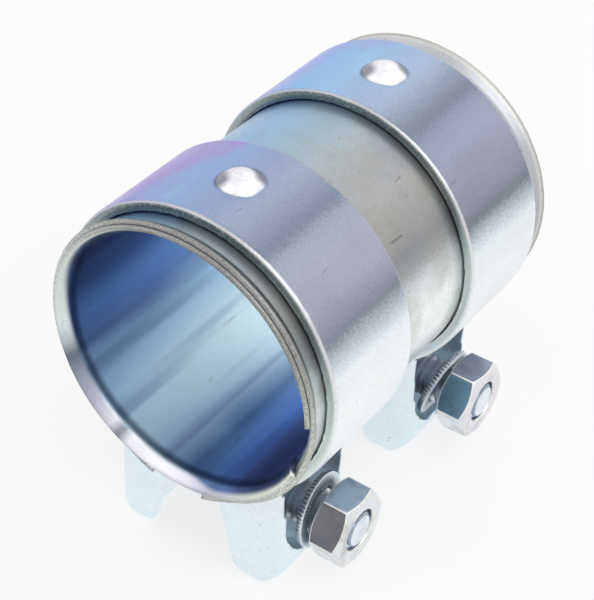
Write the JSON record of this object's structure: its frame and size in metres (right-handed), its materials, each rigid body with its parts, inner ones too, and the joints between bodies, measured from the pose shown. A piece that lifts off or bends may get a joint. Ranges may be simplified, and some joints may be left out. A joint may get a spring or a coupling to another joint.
{
  "type": "exhaust pipe connector",
  "caption": "Zinc-plated steel sleeve that clamps exhaust pipe ends together, with bolted band clamps, nuts and toothed lock washers.",
  "frame": {"origin": "on the sleeve's axis, halfway along its length", "axes": "+Y along the sleeve's axis, +X along the bolts towards their nuts, +Z away from the clamp lugs"},
  "size_m": [0.07, 0.095, 0.0956],
  "materials": {
    "inner_sheet": "satin",
    "outer_sheet": "satin",
    "band_zinc": "satin",
    "bolt_zinc": "satin",
    "nut_zinc": "satin",
    "washer_zinc": "satin"
  },
  "bodies": {
    "connector": {"inner_sleeve": "inner_sheet", "outer_sleeve": "outer_sheet", "front_band": "band_zinc", "rear_band": "band_zinc", "front_bolt": "bolt_zinc", "rear_bolt": "bolt_zinc"},
    "front_washer_body": {"front_washer": "washer_zinc"},
    "front_nut_body": {"front_nut": "nut_zinc"},
    "rear_washer_body": {"rear_washer": "washer_zinc"},
    "rear_nut_body": {"rear_nut": "nut_zinc"}
  },
  "joints": [
    {"name": "front_travel", "type": "slide", "parent": "connector", "child": "front_washer_body", "axis": [1, 0, 0], "range_m": [-0.00675, 0]},
    {"name": "front_nut_turn", "type": "hinge", "parent": "front_washer_body", "child": "front_nut_body", "pos_m": [0.03097, -0.0265, -0.0423], "axis": [1, 0, 0], "range_deg": [-1620.5, 0]},
    {"name": "rear_travel", "type": "slide", "parent": "connector", "child": "rear_washer_body", "axis": [1, 0, 0], "range_m": [-0.00525, 0]},
    {"name": "rear_nut_turn", "type": "hinge", "parent": "rear_washer_body", "child": "rear_nut_body", "pos_m": [0.03097, 0.0265, -0.0423], "axis": [1, 0, 0], "range_deg": [-1260.5, 0]}
  ],
  "couplings": [
    {"joint": "front_nut_turn", "follows": "front_travel", "rad_per_m": 4188.8},
    {"joint": "rear_nut_turn", "follows": "rear_travel", "rad_per_m": 4188.8}
  ]
}
